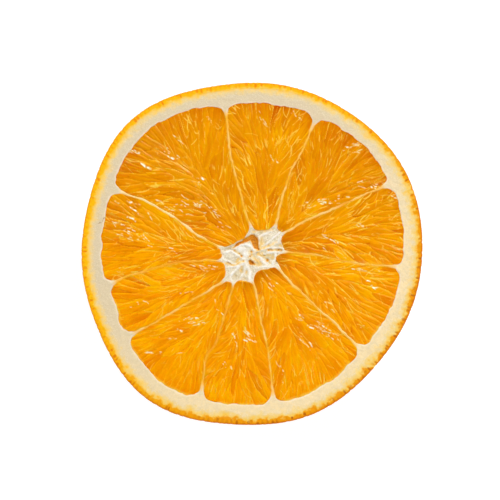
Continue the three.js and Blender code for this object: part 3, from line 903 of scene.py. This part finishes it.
# how milky each membrane looks, from clear, which lets the orange through, to white
MILKINESS = (0.3, 0.25, 0.3, 0.3, 0.45, 0.25, 0.1, 0.3, 0.05, 0.85)
# stretches of membrane that juice sacs lie over: which membrane, radius where it starts and stops
COVERED = [(6, 10, 27), (8, 13, 28), (3, 17, 24), (2, 20, 29)]
FISSURE = [(-35.1, 6.9), (-34.3, 7.2), (-33.8, 8.2), (-32.9, 8.4)]
FISSURE_HALF_WIDTH = 0.13
CORE_SINK = 0.4  # the core's ground lies this far below the cut
HOLLOW_DEPTH = 0.8


def segment_distance(x, y, a, b):
    """Distance of points from the straight line from a to b, and how far along it they lie."""
    ax, ay = a
    dx, dy = b[0] - ax, b[1] - ay
    t = np.clip(((x - ax) * dx + (y - ay) * dy) / (dx * dx + dy * dy), 0, 1)
    return np.hypot(x - ax - t * dx, y - ay - t * dy), t


def path_distance(x, y, points):
    """Distance of each place from a path of straight stretches."""
    return np.min([segment_distance(x, y, a, b)[0] for a, b in zip(points[:-1], points[1:])], 0)


def lower_right(bearing):
    """1 on the lower right, where the cut skin is painted darker as shade and the pith is lighter and
    yellower, 0 on the upper left.
    """
    return smooth(0.42 - 0.7 * np.cos(bearing - radians(130)))


def left_side(bearing):
    """1 where the coloured skin is thickest, on the left, 0 on the right."""
    return smooth(0.5 - 0.6 * np.cos(bearing - radians(20)))


def ridges(x, y, size, seed, octaves=3):
    """Crumpled noise from 0 to 1 with sharp crests."""
    total, amp, norm = 0.0, 1.0, 0.0
    for o in range(octaves):
        total = total + amp * (1 - np.abs(noise(x, y, size, seed + 7 * o))) ** 2
        norm += amp
        amp *= 0.6
        size = size / 2
    return total / norm


def core_holes(x, y):
    """How deep each point lies in the hollow or in a pit, from 0 to 1."""
    hole = np.zeros(len(x))
    hollow = spline(HOLLOW_SPINE, 4)
    for (ax, ay, a_wide), (bx, by, b_wide) in zip(hollow[:-1], hollow[1:]):
        d, t = segment_distance(x, y, (ax, ay), (bx, by))
        off = d - (a_wide + (b_wide - a_wide) * t)
        hole = np.maximum(hole, smooth((0.2 - off) / 0.5))
    for at_x, at_y, wide, deep in PITS:
        off = np.hypot(x - at_x, y - at_y) - 1.3 * wide
        hole = np.maximum(hole, deep * smooth((0.2 - off) / 0.35))
    return hole


class PithFace:
    """The cut pith, membranes and core: its points, and where each lies among them."""

    def __init__(self):
        used, self.faces = grid_faces(cells((plan.inside < MARGIN) & (plan.skin > PEEL)))
        self.x, self.y = plan.x[used], plan.y[used]
        self.out, self.core, self.rim = -plan.inside[used], plan.core[used], plan.rim[used]
        self.skin, self.bearing = plan.skin[used], plan.bearing[used]
        self.membrane, self.thickness = plan.nearest_wall[used], plan.thickness[used]
        self.radius, self.turn = polar_about(self.x, self.y, CORE_MIDDLE)
        self.in_core = smooth((0.9 - self.core) / 1.6)
        self.thin = smooth((0.7 - plan.wall[used]) / 0.5)
        # folds, holes and streaks all waver a little
        self.wavy_x = self.x + 0.22 * self.noise(1.2, 45, 2)
        self.wavy_y = self.y + 0.22 * self.noise(1.2, 46, 2)
        self.lumps = noise(self.wavy_x, self.wavy_y, 1.7, 44, 2)
        self.crumple = ridges(self.wavy_x, self.wavy_y, 2.0, 47, 2)
        self.hole = core_holes(self.wavy_x, self.wavy_y)
        gap = path_distance(self.x, self.y, FISSURE) + 0.1 * self.noise(0.5, 49)
        self.crack = 0.7 * smooth((FISSURE_HALF_WIDTH - gap) / FISSURE_HALF_WIDTH)

    def noise(self, size, seed, octaves=1):
        """Noise over the points of the face."""
        return noise(self.x, self.y, size, seed, octaves)


def core_relief(face):
    """Lumps, crumples and folds of the core, and how far each point lies on a white fold."""
    fibres = 1 - np.abs(noise(face.turn * 9, face.radius * 0.45, 1.0, 48, 2))
    fibres = 0.2 * (fibres - 0.75) * smooth(face.radius / 3)
    relief = 0.2 * face.lumps + 0.4 * (face.crumple - 0.7) + fibres
    broken = np.clip(0.85 + 0.6 * face.noise(0.9, 57, 2), 0.1, 1.2)
    snow = np.zeros(len(face.x))
    for points, width, height in FOLDS:
        fold = height * gaussian(path_distance(face.wavy_x, face.wavy_y, points), width) * broken
        relief = relief + fold
        snow = np.maximum(snow, fold / height)
    return relief, snow


def pith_height(face, relief):
    """Height of the cut pith, which lies lower and crumples in the core."""
    z = HEIGHT - 0.06 + 0.07 * face.noise(1.1, 41, 3) - 0.04 * ridges(face.x, face.y, 0.7, 42, 2)
    z = z - 0.07 * gaussian(np.maximum(face.out, 0), 0.18) + EDGE_FALL * np.minimum(face.out, 0)
    z = z + face.in_core * (relief - CORE_SINK)
    return z - HOLLOW_DEPTH * face.hole * (0.8 + 0.4 * face.crumple) - 0.2 * face.crack


def core_stains(face, relief, snow):
    """Stains of the core, which gather in its holes and low places, and the painted shade that darkens its
    low places.
    """
    low = smooth((-0.12 - relief) / 0.25) * face.in_core
    rust = smooth((face.noise(1.5, 53, 2) + 0.1) / 0.4)
    stain = np.clip(1.15 * face.hole - 0.12 + 0.3 * face.noise(0.6, 55, 2) * (face.hole > 0.05), 0, 0.95)
    stain = np.maximum(stain, 0.4 * low * rust * (1 - snow))
    uneven = np.clip(0.75 + 0.6 * face.noise(0.5, 58, 2), 0, 1)
    for points, width, strength in STREAKS:
        streak = gaussian(path_distance(face.wavy_x, face.wavy_y, points), width) * uneven
        stain = np.maximum(stain, strength * streak * face.in_core)
    # painted shade: darker in the core's low places and between its lumps
    painted_low_shade = np.clip(0.9 * low + 0.35 * face.in_core * smooth(0.3 - 1.2 * face.lumps), 0, 1)
    return stain, painted_low_shade * (1 - 0.7 * snow)


def membrane_films(face):
    """Where the thin membranes are, how milky they look, and where sacs lie over them."""
    film = face.thin * smooth((face.core - 0.2) / 2.0) * smooth((face.rim - 0.3) / 1.6)
    pale = gaussian(face.turn - np.where(face.x > 0, 0.52, 2.7), 0.16) * smooth((face.radius - 14) / 8)
    milk = np.array(MILKINESS)[face.membrane] * (0.8 + 1.2 * face.thickness)
    milk = np.clip(milk + 0.3 * pale + 0.2 * face.noise(0.8, 51), 0, 1)
    covered = np.zeros(len(face.x))
    for which, start, stop in COVERED:
        stretch = smooth((face.radius - start) / 4) * smooth((stop - face.radius) / 4)
        covered = np.maximum(covered, (face.membrane == which) * stretch)
    covered = covered * smooth(0.85 + 0.7 * face.noise(2.2, 93))
    return film, milk, 0.85 * covered * face.thin


def build_pith():
    face = PithFace()
    relief, snow = core_relief(face)
    stain, painted_low_shade = core_stains(face, relief, snow)
    film, milk, covered = membrane_films(face)
    line = 0.55 * gaussian(face.out - 0.16, 0.14) * (1 - face.thin)
    attributes = {"skin": face.skin, "gland": np.zeros(len(face.x)), "left": left_side(face.bearing),
                  "white": smooth((2.2 - face.core) / 2.4), "snow": snow * face.in_core,
                  "shade": lower_right(face.bearing), "film": film, "milk": milk, "covered": covered,
                  "line": line, "stain": stain, "crack": face.crack, "painted_low_shade": painted_low_shade}
    sheet = np.stack([face.x, face.y, pith_height(face, relief)], 1)
    points, faces, attributes = joined(sheet, face.faces, attributes, body_below("pith"), {"skin": 4.0})
    pith = mesh_object("pith_flesh", points, faces, pith_material(), attributes)
    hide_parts("pith")
    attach(pith, "root")


build_pith()

# ---- The peel's cut edge, with oil glands cut through ----
GLAND_PITCH = 1.15
EDGE_DROP = 0.22  # the skin's edge lies this far below the cut face
EDGE_BEVEL = 0.45  # how far in from the skin the edge starts to round off
FACE_SINK = 0.05
bearing_axis = np.linspace(0, 2 * pi, 2000, endpoint=False)
edge = np.stack([CENTRE[0] + bare_outline(bearing_axis) * RADIUS * np.cos(bearing_axis),
                 CENTRE[1] + bare_outline(bearing_axis) * RADIUS * np.sin(bearing_axis)], 1)
around = np.concatenate([[0], np.cumsum(np.hypot(*np.diff(np.vstack([edge, edge[:1]]), axis=0).T))])
girth = around[-1]
gland_count = int(girth / GLAND_PITCH)
gland_rng = np.random.default_rng(7)
gland_at = (np.arange(gland_count) + gland_rng.uniform(-0.3, 0.3, gland_count)) * girth / gland_count
gland_depth = gland_rng.uniform(0.3, 0.8, gland_count)
gland_long = gland_rng.uniform(0.28, 0.6, gland_count)
gland_wide = gland_rng.uniform(0.2, 0.36, gland_count)
gland_strong = 0.15 + 0.85 * gland_rng.uniform(0, 1, gland_count) ** 1.6
gland_bite = 0.13 * gland_rng.uniform(0.0, 1.0, gland_count) ** 2


def nearby_glands(bearing):
    """For points by bearing: each of the three nearest glands and how far round the skin it is."""
    place = np.interp(bearing % (2 * pi), np.append(bearing_axis, 2 * pi), around)
    nearest = np.round(place / girth * gland_count).astype(int)
    for shift in (-1, 0, 1):
        i = (nearest + shift) % gland_count
        yield i, (place - gland_at[i] + girth / 2) % girth - girth / 2


def gland_field(bearing, skin):
    """How far each point of the cut peel lies in an oil gland, from 0 to 1."""
    best = np.zeros(len(bearing))
    for i, gap in nearby_glands(bearing):
        d = np.hypot(gap / gland_wide[i], (skin - gland_depth[i]) / gland_long[i])
        best = np.maximum(best, gland_strong[i] * smooth((1.35 - d) / 0.7))
    return best


def notch(bearing):
    """How far the skin is drawn in over the glands it is cut through, in millimetres."""
    deepest = np.zeros(len(bearing))
    for i, gap in nearby_glands(bearing):
        deepest = np.maximum(deepest, gland_bite[i] * gaussian(gap, 0.3))
    return deepest


def build_peel_face():
    inner = plan.skin - notch(plan.bearing)
    used, faces = grid_faces(cells((inner > 0) & (plan.skin < PEEL + 0.25)))
    x, y, bearing = plan.x[used], plan.y[used], plan.bearing[used]
    # points past the skin are drawn back onto it
    over = np.minimum(inner[used], 0)
    x, y = x + over * np.cos(bearing), y + over * np.sin(bearing)
    skin = np.maximum(inner[used], 0)
    gland = gland_field(bearing, skin)
    z = HEIGHT - FACE_SINK - EDGE_DROP * np.clip(1 - skin / EDGE_BEVEL, 0, 1) ** 2 - 0.1 * gland
    z = z + 0.03 * noise(x, y, 0.8, 61, 2) - 0.4 * smooth((skin - PEEL - 0.05) / 0.2)
    attributes = {"skin": skin, "gland": gland, "left": left_side(bearing), "shade": lower_right(bearing)}
    peel_face = mesh_object("peel_face", np.stack([x, y, z], 1), faces, peel_face_material(), attributes)
    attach(peel_face, "root")


build_peel_face()

# ---- The peel's outside: a dome with pitted skin, on the grid of a cube's faces ----
CUBE = 176
INNER_CUBE = 40
EDGE_Z = HEIGHT - FACE_SINK - EDGE_DROP
PIT_PITCH, PIT_DEPTH = 1.35, 0.2
SWELLING_SINK = 0.06
DOME_AREA = 9600.0  # square millimetres of skin
SCAR_RADIUS = 1.7  # the brown mark at the blossom end
SMOOTH_EDGE = 1.6  # the pits fade out over this distance to the cut


def half_cube(n):
    """Directions over the lower half sphere on the faces of a cube, and its quads."""
    t = np.tan(np.linspace(-1, 1, n + 1) * pi / 4)
    h = n // 2
    points, quads, start = [], [], 0

    def sheet(p, rows, columns):
        nonlocal start
        points.append(p.reshape(-1, 3))
        i, j = np.meshgrid(np.arange(rows - 1), np.arange(columns - 1), indexing="ij")
        a = (start + i * columns + j).ravel()
        quads.append(np.stack([a, a + columns, a + columns + 1, a + 1], 1))
        start += rows * columns

    u, v = np.meshgrid(t, t, indexing="ij")
    sheet(np.stack([u, v, -np.ones_like(u)], -1), n + 1, n + 1)
    w, low = np.meshgrid(t, t[:h + 1], indexing="ij")
    for turn in range(4):
        c, s = round(cos(turn * pi / 2)), round(sin(turn * pi / 2))
        side_x, side_y = rotated(np.ones_like(w), w, c, s)
        sheet(np.stack([side_x, side_y, low], -1), n + 1, h + 1)
    points = np.vstack(points)
    points /= np.linalg.norm(points, axis=1)[:, None]
    _, first, inverse = np.unique(np.round(points, 6), axis=0, return_index=True, return_inverse=True)
    return points[first], inverse.reshape(-1)[np.vstack(quads)]


def skin_point(directions, depth):
    """A point under the skin for each direction; depth in millimetres along the way in."""
    b = np.arctan2(directions[:, 1], directions[:, 0])
    flat = np.hypot(directions[:, 0], directions[:, 1])
    r = (bare_outline(b) * RADIUS - depth) * flat
    z = np.maximum(HEIGHT + (DOME_DEPTH - depth) * directions[:, 2], depth)
    return np.stack([CENTRE[0] + r * np.cos(b), CENTRE[1] + r * np.sin(b), z], 1)


def faces_out(points, quads):
    """The quads, each wound so that it faces away from the fruit's middle."""
    p = points[quads]
    normal = np.cross(p[:, 2] - p[:, 0], p[:, 3] - p[:, 1])
    inward = (normal * (p.mean(1) - np.array([0, 0, HEIGHT]))).sum(1) < 0
    quads = quads.copy()
    quads[inward] = quads[inward][:, ::-1]
    return quads


def pit_field(points, pitch, seed):
    """Distance from each point to the nearest of a crowd of pits spread over the dome."""
    draws = np.random.default_rng(seed)
    total = int(DOME_AREA / (0.866 * pitch * pitch))
    k = np.arange(total) + 0.5
    height = -k / total
    turn = pi * (1 + 5**0.5) * k
    flat = np.sqrt(1 - height * height)
    directions = np.stack([flat * np.cos(turn), flat * np.sin(turn), height], 1)
    directions += draws.normal(0, 0.17 * pitch / (ACROSS / 2), directions.shape)
    directions /= np.linalg.norm(directions, axis=1)[:, None]
    size = draws.uniform(0.7, 1.25, total)
    tree = kdtree.KDTree(total)
    for i, p in enumerate(skin_point(directions, 0.0)):
        tree.insert(p, i)
    tree.balance()
    near = np.empty(len(points))
    for i, p in enumerate(points):
        _, j, d = tree.find(p)
        near[i] = d / size[j]
    return near


def build_peel_skin():
    directions, quads = half_cube(CUBE)
    points = skin_point(directions, 0.0)
    quads = faces_out(points, quads)
    x, y, z = points.T
    pit = smooth((0.58 - pit_field(points, PIT_PITCH, 5)) / 0.5)
    normal = directions / np.array([RADIUS, RADIUS, DOME_DEPTH])
    normal /= np.linalg.norm(normal, axis=1)[:, None]
    swell = noise(x + 0.7 * z, y - 0.6 * z, 7.0, 13, 2)
    scar = smooth((SCAR_RADIUS - np.hypot(x, y) + 0.5 * noise(x, y, 0.9, 14, 2)) / 1.2) * 0.75
    edge_share = smooth(1 - (EDGE_Z - z) / SMOOTH_EDGE)
    sink = (PIT_DEPTH * pit + SWELLING_SINK * (1 + swell)) * (1 - edge_share)
    sink = sink + notch(np.arctan2(y - CENTRE[1], x - CENTRE[0])) * edge_share
    points = points - normal * sink[:, None]
    points[:, 2] = np.clip(points[:, 2], 0.0, EDGE_Z)
    # the peel's inside, seen only through a gap
    under, under_quads = half_cube(INNER_CUBE)
    under_points = skin_point(under, PEEL)
    under_points[:, 2] = np.minimum(under_points[:, 2], HEIGHT - 0.5)
    under_quads = faces_out(under_points, under_quads)[:, ::-1] + len(points)
    zero = np.zeros(len(under))
    attributes = {"pit": np.append(pit, zero), "scar": np.append(scar, zero),
                  "inner": np.append(np.zeros(len(points)), zero + 1)}
    skin = mesh_object("peel_skin", np.vstack([points, under_points]), np.vstack([quads, under_quads]),
                       peel_material(), attributes)
    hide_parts("peel")
    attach(skin, "root")


build_peel_skin()

# ---- Floor, light and camera ----
FLOOR_HALF_SIDE = 3.0  # metres
FLOOR_GAP = 0.0002  # the floor lies this far under the half, in metres


def build_floor():
    """A pale floor that glows all round the half, a painted light, and glows less under it, a painted
    contact shadow.
    """
    m = Nodes("floor")
    from_rest = m.new("ShaderNodeVectorMath", operation="LENGTH")
    m.join(m.place(), from_rest.inputs[0])
    # painted light and shadow: the floor's glow, dimmer near the middle under the half
    glow = m.span(from_rest.outputs["Value"], 10.0, 43.0, 0.3, 0.86)
    m.surface(Base_Color=rgb(160, 160, 160), Roughness=0.9, Specular_IOR_Level=0.1,
              Emission_Color=(1, 1, 1, 1), Emission_Strength=glow)
    s = FLOOR_HALF_SIDE
    mesh = bpy.data.meshes.new("floor")
    mesh.from_pydata([(-s, -s, 0), (s, -s, 0), (s, s, 0), (-s, s, 0)], [], [(0, 1, 2, 3)])
    mesh.materials.append(m.material)
    floor = bpy.data.objects.new("floor", mesh)
    bpy.context.scene.collection.objects.link(floor)
    floor.location.z = -FLOOR_GAP


def area_light(name, azimuth, elevation, distance, size, power):
    """A round light that faces the middle of the cut; angles in degrees, lengths in metres."""
    light = bpy.data.lights.new(name, "AREA")
    light.shape = "DISK"
    light.size = size
    light.energy = power
    obj = bpy.data.objects.new(name, light)
    a, e = radians(azimuth), radians(elevation)
    where = Vector((cos(a) * cos(e), sin(a) * cos(e), sin(e))) * distance
    obj.location = where + Vector((0, 0, HEIGHT * MM))
    obj.rotation_euler = where.to_track_quat("Z", "Y").to_euler()
    bpy.context.scene.collection.objects.link(obj)


def build_world():
    """Soft white light from all sides, nearly dark overhead so that only the key light glints."""
    world = bpy.data.worlds.new("studio")
    world.use_nodes = True
    tree = world.node_tree
    upward = tree.nodes.new("ShaderNodeSeparateXYZ")
    tree.links.new(tree.nodes.new("ShaderNodeTexCoord").outputs["Generated"], upward.inputs[0])
    ceiling = tree.nodes.new("ShaderNodeMapRange")
    # a value that the link below replaces, heights where the sky starts and ends to darken, and how
    # bright it is under and over them
    for i, value in enumerate((0.0, 0.45, 0.85, 0.85, 0.03)):
        ceiling.inputs[i].default_value = value
    tree.links.new(upward.outputs["Z"], ceiling.inputs[0])
    tree.links.new(ceiling.outputs[0], tree.nodes["Background"].inputs[1])
    tree.nodes["Background"].inputs[0].default_value = (1, 1, 1, 1)
    bpy.context.scene.world = world


PHOTO_SCALE = 0.2285  # millimetres of cut face to a pixel of the 500 pixel photo
PHOTO_MIDDLE = (-0.44, 0.87)  # the place under the photo's middle


def build_camera():
    """A camera straight above, that sees as much of the cut face as the photo does."""
    camera = bpy.data.cameras.new("camera")
    camera.lens = 120
    camera.sensor_width = 36
    camera.clip_start = 0.01
    obj = bpy.data.objects.new("camera", camera)
    distance = 500 * PHOTO_SCALE * MM * camera.lens / camera.sensor_width
    obj.location = (PHOTO_MIDDLE[0] * MM, PHOTO_MIDDLE[1] * MM, HEIGHT * MM + distance)
    bpy.context.scene.collection.objects.link(obj)
    bpy.context.scene.camera = obj


build_floor()
area_light("key", azimuth=KEY_AZIMUTH, elevation=58, distance=1.2, size=0.13, power=10.3)
area_light("fill", azimuth=215, elevation=28, distance=1.3, size=0.5, power=3.6)
build_world()
build_camera()
bpy.context.scene.view_settings.view_transform = "Standard"
